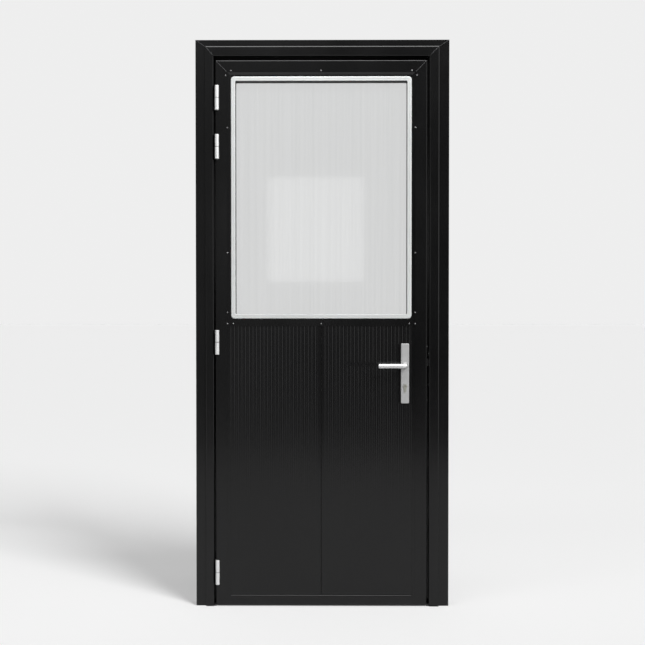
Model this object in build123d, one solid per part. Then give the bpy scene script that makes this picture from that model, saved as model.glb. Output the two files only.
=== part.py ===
from build123d import *
import os

# Sandwich panel shed door in its aluminium frame. Millimetres.
# X runs from the hinge side to the lock side, Y from the outer face to the inner face, Z up.
# The origin is on the floor, midway along the frame and midway through the leaf.

# Frame
FRAME_WIDTH = 1030
FRAME_HEIGHT = 2305
FRAME_WALL = 2
JAMB_FLANGE = 40
HEAD_FLANGE = 26
HINGE_JAMB_BAND = 34
LOCK_JAMB_BAND = 41
HEAD_BAND = 41
BAND_STEP = 10
BAND_PROUD = 1
WALL_CHANNEL = 60
STOP_WIDTH = 26
BAND_EDGE_RADIUS = 5
HOLLOW_CORNER_RADIUS = 3
MITRE_GROOVE_WIDTH = 1.6
MITRE_GROOVE_DEPTH = 0.8
FIXING_HEIGHT_SHARES = (0.113, 0.312, 0.642, 0.855)
FIXING_HOLE_RADIUS = 2.75
FIXING_ACCESS_RADIUS = 5
CLEAT_ARM = 70
CLEAT_CLEARANCE = 0.2

# Gaps round the leaf
HINGE_GAP = 7.5
LOCK_GAP = 9
HEAD_GAP = 16.5
FLOOR_GAP = 8
GASKET_GAP = 4
GASKET_WIDTH = 9
GASKET_CLEARANCE = 0.3

# Leaf edge channels
CHANNEL_WALL = 2
STILE_FACE = 48
STILE_LIP = 11.5
LIP_STEP = 1
LIP_RISE = 0.8
LEAF_EDGE_RADIUS = 4
BOTTOM_RAIL_FACE = 36
SEAL_WIDTH = 14
SEAL_BASE = 2
SEAL_BLADE = 4
SEAL_FLOOR_GAP = 1.5

# Sandwich panels
PANEL_THICKNESS = 40
SKIN = 0.6
RIB_PITCH = 15
RIB_DEPTH = 1.0
RIB_SLOPE = 1.6
RIB_VALLEY = 5.9
RIB_MARGIN = 6
JOINT_GAP = 2
SKIN_RETURN = 9
TONGUE_LENGTH = 14
TONGUE_THICKNESS = 10
TONGUE_CLEARANCE = 0.5

# Window
WINDOW_SIDE_MARGIN = 3.3
WINDOW_TOP_MARGIN = 6.5
WINDOW_FACE = 18
WINDOW_PROUD = 6
WINDOW_CORNER_RADIUS = 14
WINDOW_EDGE_RADIUS = 4.5
WINDOW_OPENING_EDGE_RADIUS = 2
WINDOW_GROOVE_INSET = 9.5
WINDOW_GROOVE_WIDTH = 1.2
WINDOW_GROOVE_DEPTH = 0.8
WINDOW_LAP = 5
WINDOW_CLEARANCE = 0.5
WINDOW_SLEEVE = 6
WINDOW_LIP = 4
SLEEVE_GAP = 0.5
SLEEVE_CORNER_RADIUS = 8
OPENING_CORNER_RADIUS = 4
PANE_THICKNESS = 6
WINDOW_SCREW_RADIUS = 1.5
WINDOW_SCREW_HEAD_RADIUS = 2.8
WINDOW_SCREW_HEAD = 1.6
WINDOW_SCREW_CLEARANCE = 0.15
WINDOW_SCREW_SIDE_SHARES = (0.12, 0.5, 0.88)
WINDOW_SCREW_END_SHARES = (0.25, 0.75)
TRANSOM_STRIP_HEIGHT = 31
STRIP_PLATE_GAP = 70.5

# Rivets on the outer face, placed from the window's edges
RIVET_RADIUS = 2
RIVET_HEAD_RADIUS = 3.2
RIVET_HEAD = 2.2
RIVET_DOME_RADIUS = 1.8
RIVET_CLEARANCE = 0.1
RIVET_SIDE_INSET = 48
RIVET_CORNER_INSET = 42
RIVET_CORNER_RISE = 4
RIVET_RAIL_DROP = 43
RIVET_STRIP_DROP = 21
RIVET_STRIP_INSET = 9
RIVET_SIDE_SHARES = (0.025, 0.272, 0.789)

# Hinges
HINGE_HEIGHT_SHARES = (0.0609, 0.468, 0.8119, 0.8976)
HINGE_HEIGHT = 99
HINGE_AXIS_INSET = 7
KNUCKLE_RADIUS = 8
KNUCKLE_FACE_GAP = 0.8
KNUCKLE_END_RADIUS = 1.2
KNUCKLE_CAP = 4
HINGE_PIN_RADIUS = 4.5
HINGE_PIN_CLEARANCE = 0.05
HINGE_PIN_END_GAP = 0.3
WASHER_THICKNESS = 1.8
WASHER_GAP = 0.2
FLAP_THICKNESS = 2.5
FLAP_DEPTH = 38
FLAP_CRANK_START = 12
FLAP_CRANK_LENGTH = 8
FLAP_CLEARANCE = 0.5
HINGE_SCREW_RADIUS = 2
HINGE_SCREW_HEAD_RADIUS = 3.8
HINGE_SCREW_HEAD = 1.8
HINGE_SCREW_CLEARANCE = 0.1
HINGE_SCREW_TAIL = 8
HINGE_SCREW_SHARES = (0.28, 0.74)

# Lock
BACKSET = 89
SPINDLE_HEIGHT = 984.5
CYLINDER_DROP = 85
CASE_THICKNESS = 16
CASE_WALL = 1.5
CASE_BEHIND = 30
CASE_ABOVE = 50
CASE_BELOW = 115
CASE_CLEARANCE = 0.5
FOREND_THICKNESS = 3
FOREND_WIDTH = 22
FOREND_OVERLAP = 32
FOREND_SCREW_INSET = 14
BOLT_CLEARANCE = 0.25
LATCH_WIDTH = 11.5
LATCH_HEIGHT = 28
LATCH_RISE = 12
LATCH_THROW = 12
LATCH_LENGTH = 28
LATCH_BEVEL = 9
LATCH_TAIL = 2.5
LUG_TOP = 16
LUG_HEIGHT = 5.5
LUG_WIDTH = 5
LUG_CLEARANCE = 0.3
DEAD_BOLT_WIDTH = 12
DEAD_BOLT_HEIGHT = 32
DEAD_BOLT_DROP = 48
DEAD_BOLT_LENGTH = 52
DEAD_BOLT_TAIL_LENGTH = 16
DEAD_BOLT_TAIL_HEIGHT = 12
DEAD_BOLT_INSET = 0.5
DEAD_BOLT_THROW = 20
FOLLOWER_RADIUS = 9
FOLLOWER_CLEARANCE = 0.05
FOLLOWER_ARM = 22
FOLLOWER_ARM_WIDTH = 6
FOLLOWER_ARM_THICKNESS = 6
SPINDLE = 8
SPINDLE_CLEARANCE = 0.1
SPINDLE_END = 30

# Lock cylinder
CYLINDER_RADIUS = 8.5
CYLINDER_TAIL_WIDTH = 10
CYLINDER_TAIL_DROP = 24.5
CYLINDER_PROUD = 2
CYLINDER_CLEARANCE = 0.3
PLUG_RADIUS = 6.5
PLUG_CLEARANCE = 0.05
CAM_GAP = 11
CAM_CLEARANCE = 0.4
CAM_RADIUS = 14
CAM_WIDTH = 6
KEYWAY_WIDTH = 1.6
KEYWAY_HEIGHT = 8
KEYWAY_DEPTH = 20
CYLINDER_SCREW_RADIUS = 2.5
CYLINDER_SCREW_CLEARANCE = 0.1
CYLINDER_SCREW_DROP = 19.5
LOCK_SCREW_RADIUS = 2
LOCK_SCREW_HEAD_RADIUS = 4
LOCK_SCREW_HEAD = 2
LOCK_PLATE_CORNER_INSET = 1.5

# Strike plate
STRIKE_THICKNESS = 2
STRIKE_WIDTH = 24
STRIKE_OVERLAP = 28
STRIKE_CLEARANCE = 1
STRIKE_SCREW_TAIL = 8

# Handle set
PLATE_WIDTH = 32.5
PLATE_THICKNESS = 9
PLATE_ABOVE = 89
PLATE_BELOW = 154
PLATE_CORNER_RADIUS = 4
PLATE_EDGE_RADIUS = 2
PLATE_BOLT_INSET = 20
PLATE_BOLT_RADIUS = 2.5
PLATE_BOLT_HEAD_RADIUS = 4.5
PLATE_BOLT_HEAD = 2.2
PLATE_BOLT_CLEARANCE = 0.2
PLATE_BOLT_BITE = 6
BUSH_WALL = 2.5
BUSH_HEIGHT = 5
BUSH_EDGE_RADIUS = 1.5
LEVER_RADIUS = 9.5
LEVER_LENGTH = 110
LEVER_PROJECTION = 55
LEVER_BEND_RADIUS = 13
LEVER_END_RADIUS = 3
LEVER_CLEARANCE = 0.08
LEVER_SKIN_GAP = 0.4

# Reach of every cut past the solid that it cuts
OVERRUN = 5

# Places worked out from the sizes
LEAF_FRONT = -PANEL_THICKNESS / 2 - CHANNEL_WALL
LEAF_BACK = -LEAF_FRONT
PANEL_FRONT = -PANEL_THICKNESS / 2
PANEL_BACK = PANEL_THICKNESS / 2
BAND_FRONT = LEAF_FRONT - BAND_PROUD
FLANGE_FRONT = BAND_FRONT + BAND_STEP
FRAME_BACK = FLANGE_FRONT + FRAME_WALL + WALL_CHANNEL + FRAME_WALL
STOP_FRONT = LEAF_BACK + GASKET_GAP
FRAME_LEFT = -FRAME_WIDTH / 2
FRAME_RIGHT = FRAME_WIDTH / 2
HINGE_JAMB_INNER = FRAME_LEFT + JAMB_FLANGE + HINGE_JAMB_BAND
LOCK_JAMB_INNER = FRAME_RIGHT - JAMB_FLANGE - LOCK_JAMB_BAND
HEAD_INNER = FRAME_HEIGHT - HEAD_FLANGE - HEAD_BAND
LEAF_LEFT = HINGE_JAMB_INNER + HINGE_GAP
LEAF_RIGHT = LOCK_JAMB_INNER - LOCK_GAP
LEAF_TOP = HEAD_INNER - HEAD_GAP
LEAF_BOTTOM = FLOOR_GAP
LEAF_MIDDLE = (LEAF_LEFT + LEAF_RIGHT) / 2
STILE_WIDTH = STILE_FACE + STILE_LIP
WINDOW_LEFT = LEAF_LEFT + STILE_WIDTH + WINDOW_SIDE_MARGIN
WINDOW_RIGHT = LEAF_RIGHT - STILE_WIDTH - WINDOW_SIDE_MARGIN
WINDOW_TOP = LEAF_TOP - STILE_WIDTH - WINDOW_TOP_MARGIN
PLATE_TOP = SPINDLE_HEIGHT + PLATE_ABOVE
PLATE_BOTTOM = SPINDLE_HEIGHT - PLATE_BELOW
WINDOW_BOTTOM = PLATE_TOP + STRIP_PLATE_GAP + TRANSOM_STRIP_HEIGHT
WINDOW_HEIGHT = WINDOW_TOP - WINDOW_BOTTOM
WINDOW_MIDDLE_HEIGHT = (WINDOW_TOP + WINDOW_BOTTOM) / 2
WINDOW_WIDTH = WINDOW_RIGHT - WINDOW_LEFT
WINDOW_FRONT = PANEL_FRONT - WINDOW_PROUD
SLEEVE_INSET = WINDOW_LAP + WINDOW_CLEARANCE
GASKET_INSET = SLEEVE_INSET + WINDOW_SLEEVE
SPINDLE_X = LEAF_RIGHT - BACKSET
CYLINDER_HEIGHT = SPINDLE_HEIGHT - CYLINDER_DROP
LATCH_HEIGHT_AT = SPINDLE_HEIGHT + LATCH_RISE
DEAD_BOLT_HEIGHT_AT = SPINDLE_HEIGHT - DEAD_BOLT_DROP
CASE_TOP = SPINDLE_HEIGHT + CASE_ABOVE
CASE_BOTTOM = SPINDLE_HEIGHT - CASE_BELOW
CASE_BACK = SPINDLE_X - CASE_BEHIND
FOREND_FACE = LEAF_RIGHT + FOREND_THICKNESS
FOREND_TOP = CASE_TOP + FOREND_OVERLAP
FOREND_BOTTOM = CASE_BOTTOM - FOREND_OVERLAP
PLATE_FRONT = PANEL_FRONT - PLATE_THICKNESS
PLATE_BOLT_HEIGHTS = (PLATE_TOP - PLATE_BOLT_INSET, PLATE_BOTTOM + PLATE_BOLT_INSET)
LEVER_FRONT = PLATE_FRONT - LEVER_PROJECTION + LEVER_RADIUS
HINGE_AXIS_X = LEAF_LEFT + HINGE_AXIS_INSET
HINGE_AXIS_Y = LEAF_FRONT - KNUCKLE_FACE_GAP - KNUCKLE_RADIUS
HINGE_HEIGHTS = [share * FRAME_HEIGHT for share in HINGE_HEIGHT_SHARES]
KNUCKLE_HEIGHT = (HINGE_HEIGHT - WASHER_THICKNESS - WASHER_GAP) / 2
FIXING_DEPTH = (LEAF_FRONT + LEAF_BACK) / 2
FIXING_HEIGHTS = [share * FRAME_HEIGHT for share in FIXING_HEIGHT_SHARES]
RIVET_DEPTH = CHANNEL_WALL + SKIN


def block(x0, x1, y0, y1, z0, z1):
    """A box between two corners."""
    centre = Pos((x0 + x1) / 2, (y0 + y1) / 2, (z0 + z1) / 2)
    return centre * Box(x1 - x0, y1 - y0, z1 - z0)


def rod(start, direction, length, radius):
    """A round bar from a start point along a direction."""
    place = Plane(origin=start, z_dir=direction)
    return place * Cylinder(radius, length, align=(Align.CENTER, Align.CENTER, Align.MIN))


def taper(start, direction, length, start_radius, end_radius):
    """A cone from a start point along a direction."""
    place = Plane(origin=start, z_dir=direction)
    return place * Cone(start_radius, end_radius, length, align=(Align.CENTER, Align.CENTER, Align.MIN))


def prism(points, direction, length):
    """An outline of points in space, carried along a direction."""
    return extrude(make_face(Polyline(*points, close=True)), amount=length, dir=direction)


def prism_up(outline, z0, z1):
    """A plan outline of (x, y) points carried from one height to another."""
    return prism([(x, y, z0) for x, y in outline], (0, 0, 1), z1 - z0)


def prism_deep(outline, y0, y1):
    """A face outline of (x, z) points carried from one depth to another."""
    return prism([(x, y0, z) for x, z in outline], (0, 1, 0), y1 - y0)


def rounded_slab(x0, x1, z0, z1, y0, y1, radius):
    """An upright slab with rounded corners, seen from the front."""
    face = Plane(origin=((x0 + x1) / 2, y0, (z0 + z1) / 2), x_dir=(1, 0, 0), z_dir=(0, 1, 0))
    return extrude(face * RectangleRounded(x1 - x0, z1 - z0, radius), amount=y1 - y0, dir=(0, 1, 0))


def rounded_face(points, corners, radius):
    """A flat face inside an outline of points in space, with some of its corners rounded."""
    face = make_face(Polyline(*points, close=True))
    picked = []
    for corner in corners:
        picked.append(min(face.vertices(), key=lambda vertex: (Vector(vertex) - Vector(*corner)).length))
    return fillet(picked, radius)


def mitre_groove(start, end, depth):
    """A shallow V along a mitre, between two (x, z) points on a face at one depth."""
    line = Vector(end[0] - start[0], 0, end[1] - start[1])
    across = line.normalized().cross(Vector(0, 1, 0)) * (MITRE_GROOVE_WIDTH / 2)
    down = Vector(0, MITRE_GROOVE_DEPTH, 0)
    middle = Vector(start[0], depth, start[1])
    corners = [middle + across, middle + down, middle - across, middle - down]
    return prism(corners, line, line.length - MITRE_GROOVE_WIDTH)


def countersunk_screw(head_face, direction, length, radius, head_radius, head):
    """A flat-headed screw whose head is flush at its start point."""
    return rod(head_face, direction, length, radius) + taper(head_face, direction, head, head_radius, radius)


def frame_section(flange, band):
    """The frame bar's outline and its hollow, as (inward, depth) points from the outer edge."""
    inner = flange + band
    stop = inner + STOP_WIDTH
    flange_back = FLANGE_FRONT + FRAME_WALL
    outline = [
        (0, FLANGE_FRONT), (flange, FLANGE_FRONT), (flange, BAND_FRONT), (inner, BAND_FRONT),
        (inner, STOP_FRONT), (stop, STOP_FRONT), (stop, FRAME_BACK), (0, FRAME_BACK),
        (0, FRAME_BACK - FRAME_WALL), (flange, FRAME_BACK - FRAME_WALL),
        (flange, flange_back), (0, flange_back),
    ]
    hollow = [
        (flange + FRAME_WALL, BAND_FRONT + FRAME_WALL), (inner - FRAME_WALL, BAND_FRONT + FRAME_WALL),
        (inner - FRAME_WALL, STOP_FRONT + FRAME_WALL), (stop - FRAME_WALL, STOP_FRONT + FRAME_WALL),
        (stop - FRAME_WALL, FRAME_BACK - FRAME_WALL), (flange + FRAME_WALL, FRAME_BACK - FRAME_WALL),
    ]
    return outline, hollow


def frame_bar(flange, band, place, direction, length):
    """A hollow frame bar with its visible band edges rounded."""
    outline, hollow = frame_section(flange, band)
    outer = [place(u, BAND_FRONT) for u in (flange, flange + band)]
    inner = [place(u, y) for u, y in hollow[:2]]
    face = rounded_face([place(u, y) for u, y in outline], outer, BAND_EDGE_RADIUS)
    bore = rounded_face([place(u, y) for u, y in hollow], inner, HOLLOW_CORNER_RADIUS)
    return extrude(face, amount=length, dir=direction) - extrude(bore, amount=length, dir=direction)


def mitre_line(side, band):
    """The joint between a jamb and the head, from the outer corner to the stop, as (x, z) points."""
    steps = [(0, 0), (JAMB_FLANGE, HEAD_FLANGE), (JAMB_FLANGE + band, HEAD_FLANGE + HEAD_BAND)]
    last_in, last_down = steps[-1]
    steps.append((last_in + STOP_WIDTH, last_down + STOP_WIDTH))
    return [(side * (FRAME_RIGHT - inward), FRAME_HEIGHT - down) for inward, down in steps]


def frame_grooves(side, band):
    """The V along the visible mitre of a top corner, on the flange and on the band."""
    corner, step, inner, stop = mitre_line(side, band)
    return mitre_groove(corner, step, FLANGE_FRONT) + mitre_groove(step, inner, BAND_FRONT)


def jamb(side, band):
    """One upright of the frame, cut to the mitre at its top, with its wall fixing holes."""
    bar = frame_bar(
        JAMB_FLANGE, band, lambda u, y: (side * (FRAME_RIGHT - u), y, 0), (0, 0, 1), FRAME_HEIGHT
    )
    line = mitre_line(side, band)
    last_x, last_z = line[-1]
    far_x = last_x - side * OVERRUN
    above = line + [(far_x, last_z), (far_x, FRAME_HEIGHT + OVERRUN), (line[0][0], FRAME_HEIGHT + OVERRUN)]
    bar -= prism_deep(above, BAND_FRONT - OVERRUN, FRAME_BACK + OVERRUN)
    bar -= frame_grooves(side, band)
    outer_wall = side * (FRAME_RIGHT - JAMB_FLANGE)
    inner_wall = side * (FRAME_RIGHT - JAMB_FLANGE - band)
    for height in FIXING_HEIGHTS:
        start = (outer_wall + side * OVERRUN, FIXING_DEPTH, height)
        bar -= rod(start, (-side, 0, 0), OVERRUN + FRAME_WALL + OVERRUN, FIXING_HOLE_RADIUS)
        start = (inner_wall - side * OVERRUN, FIXING_DEPTH, height)
        bar -= rod(start, (side, 0, 0), OVERRUN + FRAME_WALL + OVERRUN, FIXING_ACCESS_RADIUS)
    return bar


def hinge_jamb():
    bar = jamb(-1, HINGE_JAMB_BAND)
    for screw in frame_flap_screws(HINGE_SCREW_CLEARANCE):
        bar -= screw
    return bar


def lock_jamb():
    bar = jamb(1, LOCK_JAMB_BAND)
    x1 = LOCK_JAMB_INNER + FRAME_WALL + OVERRUN
    bar -= latch_hole(LOCK_JAMB_INNER - OVERRUN, x1, STRIKE_CLEARANCE)
    bar -= dead_bolt_hole(LOCK_JAMB_INNER - OVERRUN, x1, STRIKE_CLEARANCE)
    for height in strike_screw_heights():
        start = (LOCK_JAMB_INNER - OVERRUN, 0, height)
        bar -= rod(start, (1, 0, 0), OVERRUN + OVERRUN, LOCK_SCREW_RADIUS + BOLT_CLEARANCE)
    return bar


def head():
    """The frame's top bar, cut to the mitre at both ends."""
    bar = frame_bar(
        HEAD_FLANGE, HEAD_BAND, lambda u, y: (FRAME_LEFT, y, FRAME_HEIGHT - u), (1, 0, 0), FRAME_WIDTH
    )
    for side, band in ((-1, HINGE_JAMB_BAND), (1, LOCK_JAMB_BAND)):
        line = mitre_line(side, band)
        last_x, last_z = line[-1]
        far_x = side * (FRAME_RIGHT + OVERRUN)
        beside = line + [(last_x, last_z - OVERRUN), (far_x, last_z - OVERRUN), (far_x, FRAME_HEIGHT)]
        bar -= prism_deep(beside, BAND_FRONT - OVERRUN, FRAME_BACK + OVERRUN)
        bar -= frame_grooves(side, band)
    return bar


def corner_cleat(side, band):
    """The angle block inside a top corner of the frame, one arm in the jamb and one in the head."""
    upright_wall = FRAME_WALL * max(1, band / HEAD_BAND) + CLEAT_CLEARANCE
    level_wall = FRAME_WALL * max(1, HEAD_BAND / band) + CLEAT_CLEARANCE
    outer = side * (FRAME_RIGHT - JAMB_FLANGE - upright_wall)
    inner = side * (FRAME_RIGHT - JAMB_FLANGE - band + upright_wall)
    top = FRAME_HEIGHT - HEAD_FLANGE - level_wall
    bottom = FRAME_HEIGHT - HEAD_FLANGE - HEAD_BAND + level_wall
    y0 = BAND_FRONT + FRAME_WALL + HOLLOW_CORNER_RADIUS + CLEAT_CLEARANCE
    y1 = STOP_FRONT
    end = inner - side * CLEAT_ARM
    upright = block(min(outer, inner), max(outer, inner), y0, y1, bottom - CLEAT_ARM, top)
    return upright + block(min(outer, end), max(outer, end), y0, y1, bottom, top)


def stop_gasket():
    """One length of rubber round the frame's stop, with a rounded face towards the leaf."""
    centre = (STOP_WIDTH + HINGE_GAP) / 2
    y0 = STOP_FRONT - GASKET_GAP + GASKET_CLEARANCE

    def ring(inset, front):
        x0 = HINGE_JAMB_INNER + inset
        x1 = LOCK_JAMB_INNER - inset
        return block(x0, x1, front, STOP_FRONT, 0, HEAD_INNER - inset)

    outer_inset = centre - GASKET_WIDTH / 2
    gasket = ring(outer_inset, y0)
    inner = ring(outer_inset + GASKET_WIDTH, y0 - OVERRUN)
    gasket -= inner
    crown = [edge for edge in gasket.edges() if abs(edge.center().Y - y0) < GASKET_CLEARANCE]
    long = [edge for edge in crown if edge.length > GASKET_WIDTH + GASKET_CLEARANCE]
    return fillet(long, (GASKET_GAP - GASKET_CLEARANCE) / 2)


def channel_section(face, lip):
    """An edge channel's outline, as (inward, depth) points from the leaf's edge."""
    end = face + lip
    front = [(0, LEAF_FRONT), (face, LEAF_FRONT)]
    if lip:
        front += [(face, LEAF_FRONT + LIP_STEP), (end, LEAF_FRONT + LIP_STEP - LIP_RISE)]
    front += [(end, PANEL_FRONT), (CHANNEL_WALL, PANEL_FRONT)]
    back = [(u, -y) for u, y in reversed(front)]
    return front + back


def channel(face, lip, place, direction, length):
    """An edge channel with its two outer corners rounded."""
    outline = [place(u, y) for u, y in channel_section(face, lip)]
    outer = [place(0, y) for y in (LEAF_FRONT, LEAF_BACK)]
    return extrude(rounded_face(outline, outer, LEAF_EDGE_RADIUS), amount=length, dir=direction)


def leaf_grooves(edge_x, side):
    """The V along the mitre of a top corner of the leaf, on its outer and its inner face."""
    corner = (edge_x, LEAF_TOP)
    inner = (edge_x - side * STILE_FACE, LEAF_TOP - STILE_FACE)
    return mitre_groove(corner, inner, LEAF_FRONT) + mitre_groove(corner, inner, LEAF_BACK)


def above_mitres(edge_x, side):
    """The two corner regions that a stile gives up to the rails."""
    inward = edge_x - side * STILE_WIDTH
    past = edge_x - side * (STILE_WIDTH + OVERRUN)
    top = [
        (edge_x, LEAF_TOP), (inward, LEAF_TOP - STILE_WIDTH), (past, LEAF_TOP - STILE_WIDTH),
        (past, LEAF_TOP + OVERRUN), (edge_x, LEAF_TOP + OVERRUN),
    ]
    rail = LEAF_BOTTOM + BOTTOM_RAIL_FACE
    bottom = [
        (edge_x, LEAF_BOTTOM), (inward, rail), (past, rail),
        (past, LEAF_BOTTOM - OVERRUN), (edge_x, LEAF_BOTTOM - OVERRUN),
    ]
    return [prism_deep(outline, LEAF_FRONT - OVERRUN, LEAF_BACK + OVERRUN) for outline in (top, bottom)]


def stile(side, edge_x):
    """An upright edge channel of the leaf, mitred to both rails."""
    height = LEAF_TOP - LEAF_BOTTOM
    bar = channel(
        STILE_FACE, STILE_LIP, lambda u, y: (edge_x - side * u, y, LEAF_BOTTOM), (0, 0, 1), height
    )
    for corner in above_mitres(edge_x, side):
        bar -= corner
    return bar - leaf_grooves(edge_x, side)


def hinge_stile():
    bar = stile(-1, LEAF_LEFT)
    for cut in leaf_flap_screws(HINGE_SCREW_CLEARANCE) + rivet_holes():
        bar -= cut
    return bar


def lock_stile():
    bar = stile(1, LEAF_RIGHT)
    half = CASE_THICKNESS / 2 + CASE_CLEARANCE
    bar -= block(
        LEAF_RIGHT - CHANNEL_WALL - OVERRUN, LEAF_RIGHT + OVERRUN, -half, half,
        CASE_BOTTOM - CASE_CLEARANCE, CASE_TOP + CASE_CLEARANCE,
    )
    for cut in forend_screw_holes() + rivet_holes():
        bar -= cut
    return bar


def below_mitre(edge_x, side, edge_z, rise, width):
    """The corner region that a rail gives up to a stile."""
    past = edge_x + side * OVERRUN
    inward = edge_x - side * STILE_WIDTH
    beyond = edge_z + rise * (width + OVERRUN)
    mitre = [(edge_x, edge_z), (inward, edge_z + rise * width)]
    outline = mitre + [(inward, beyond), (past, beyond), (past, edge_z)]
    return prism_deep(outline, LEAF_FRONT - OVERRUN, LEAF_BACK + OVERRUN)


def rail(face, lip, edge_z, rise):
    """A level edge channel of the leaf, mitred to both stiles."""
    bar = channel(
        face, lip, lambda u, y: (LEAF_LEFT, y, edge_z + rise * u), (1, 0, 0), LEAF_RIGHT - LEAF_LEFT
    )
    bar -= below_mitre(LEAF_LEFT, -1, edge_z, rise, face + lip)
    return bar - below_mitre(LEAF_RIGHT, 1, edge_z, rise, face + lip)


def top_rail():
    bar = rail(STILE_FACE, STILE_LIP, LEAF_TOP, -1)
    bar -= leaf_grooves(LEAF_LEFT, -1) + leaf_grooves(LEAF_RIGHT, 1)
    for hole in rivet_holes():
        bar -= hole
    return bar


def bottom_rail():
    return rail(BOTTOM_RAIL_FACE, 0, LEAF_BOTTOM, 1)


def bottom_seal():
    """The rubber sweep under the bottom rail, a flat base with one blade."""
    front = LEAF_FRONT + LEAF_EDGE_RADIUS
    left = LEAF_LEFT + LEAF_EDGE_RADIUS
    right = LEAF_RIGHT - LEAF_EDGE_RADIUS
    base = block(left, right, front, front + SEAL_WIDTH, LEAF_BOTTOM - SEAL_BASE, LEAF_BOTTOM)
    blade = block(left, right, front, front + SEAL_BLADE, SEAL_FLOOR_GAP, LEAF_BOTTOM - SEAL_BASE)
    return base + blade


def rib_line(x0, x1):
    """The ribbed line across a panel face: (x, depth below the crests) points from x0 to x1."""
    room = x1 - x0 - RIB_MARGIN - RIB_MARGIN
    count = int(room // RIB_PITCH)
    start = x0 + (x1 - x0 - count * RIB_PITCH) / 2
    crest = RIB_PITCH - RIB_VALLEY - RIB_SLOPE - RIB_SLOPE
    points = [(x0, 0)]
    for rib in range(count):
        x = start + rib * RIB_PITCH + crest / 2
        points += [(x, 0), (x + RIB_SLOPE, RIB_DEPTH)]
        points += [(x + RIB_SLOPE + RIB_VALLEY, RIB_DEPTH), (x + RIB_SLOPE + RIB_VALLEY + RIB_SLOPE, 0)]
    return points + [(x1, 0)]


def panel_span(side):
    """The panel's edge in its channel and its edge at the joint with the other panel."""
    edge = LEAF_LEFT + CHANNEL_WALL if side < 0 else LEAF_RIGHT - CHANNEL_WALL
    return edge, LEAF_MIDDLE + side * JOINT_GAP / 2


def skin_lines(side):
    """The outer and inner lines of a skin from the channel edge to the joint, as (x, depth) points."""
    edge, joint = panel_span(side)
    line = rib_line(min(edge, joint), max(edge, joint))
    if side > 0:
        line = line[::-1]
    outer = line + [(joint, SKIN_RETURN)]
    inner = [(x, depth + SKIN) for x, depth in line[:-1]]
    inner += [(joint + side * SKIN, SKIN), (joint + side * SKIN, SKIN_RETURN)]
    return outer, inner


def panel_blank(side, outline):
    """A panel layer at full height with the window opening and the lock's holes cut through."""
    layer = prism_up(outline, LEAF_BOTTOM + CHANNEL_WALL, LEAF_TOP - CHANNEL_WALL)
    layer -= window_slab(
        WINDOW_LAP, SLEEVE_CORNER_RADIUS + WINDOW_CLEARANCE, PANEL_FRONT - OVERRUN, PANEL_BACK + OVERRUN
    )
    if side > 0:
        for hole in lock_holes():
            layer -= hole
    return layer


def skin(side, face):
    """A ribbed steel skin: face is -1 for the outer skin and 1 for the inner one."""
    outer, inner = skin_lines(side)
    outline = [(x, face * (PANEL_BACK - depth)) for x, depth in outer + inner[::-1]]
    sheet = panel_blank(side, outline)
    if face < 0:
        for hole in rivet_holes():
            sheet -= hole
    return sheet


def core(side):
    """The foam between two skins, with a tongue or a groove at the joint."""
    outer, inner = skin_lines(side)
    edge, joint = panel_span(side)
    tip = LEAF_MIDDLE - JOINT_GAP / 2 + TONGUE_LENGTH
    half = TONGUE_THICKNESS / 2
    if side > 0:
        tip += TONGUE_CLEARANCE
        half += TONGUE_CLEARANCE
    front = [(x, -(PANEL_BACK - depth)) for x, depth in inner]
    front += [(joint, -(PANEL_BACK - SKIN_RETURN)), (joint, -half), (tip, -half)]
    outline = front + [(x, -y) for x, y in reversed(front)]
    foam = panel_blank(side, outline)
    if side > 0:
        half_case = CASE_THICKNESS / 2 + CASE_CLEARANCE
        foam -= block(
            CASE_BACK - CASE_CLEARANCE, LEAF_RIGHT + OVERRUN, -half_case, half_case,
            CASE_BOTTOM - CASE_CLEARANCE, CASE_TOP + CASE_CLEARANCE,
        )
    return foam


def lock_holes():
    """Holes through the lock-side panel for the lever necks, the cylinder and the plate bolts."""
    y0 = PANEL_FRONT - OVERRUN
    length = PANEL_THICKNESS + OVERRUN + OVERRUN
    holes = [rod((SPINDLE_X, y0, SPINDLE_HEIGHT), (0, 1, 0), length, LEVER_RADIUS + CASE_CLEARANCE)]
    holes.append(cylinder_profile(y0, y0 + length, CYLINDER_CLEARANCE))
    for height in PLATE_BOLT_HEIGHTS:
        start = (SPINDLE_X, y0, height)
        holes.append(rod(start, (0, 1, 0), length, PLATE_BOLT_RADIUS + PLATE_BOLT_CLEARANCE))
    return holes


def window_slab(inset, radius, y0, y1):
    """A slab as wide and high as the window, less an inset all round."""
    x0 = WINDOW_LEFT + inset
    x1 = WINDOW_RIGHT - inset
    return rounded_slab(x0, x1, WINDOW_BOTTOM + inset, WINDOW_TOP - inset, y0, y1, radius)


def window_ring(inset0, radius0, inset1, radius1, y0, y1):
    """A rounded ring round the window, between two insets from its outer edge."""
    return window_slab(inset0, radius0, y0, y1) - window_slab(inset1, radius1, y0 - OVERRUN, y1 + OVERRUN)


def window_screw_places():
    """Where the screws join the two window frames, as (x, z) on the middle of the sleeve."""
    inset = SLEEVE_INSET + WINDOW_SLEEVE / 2
    places = []
    for share in WINDOW_SCREW_SIDE_SHARES:
        z = WINDOW_BOTTOM + share * WINDOW_HEIGHT
        places += [(WINDOW_LEFT + inset, z), (WINDOW_RIGHT - inset, z)]
    for share in WINDOW_SCREW_END_SHARES:
        x = WINDOW_LEFT + share * WINDOW_WIDTH
        places += [(x, WINDOW_BOTTOM + inset), (x, WINDOW_TOP - inset)]
    return places


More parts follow.
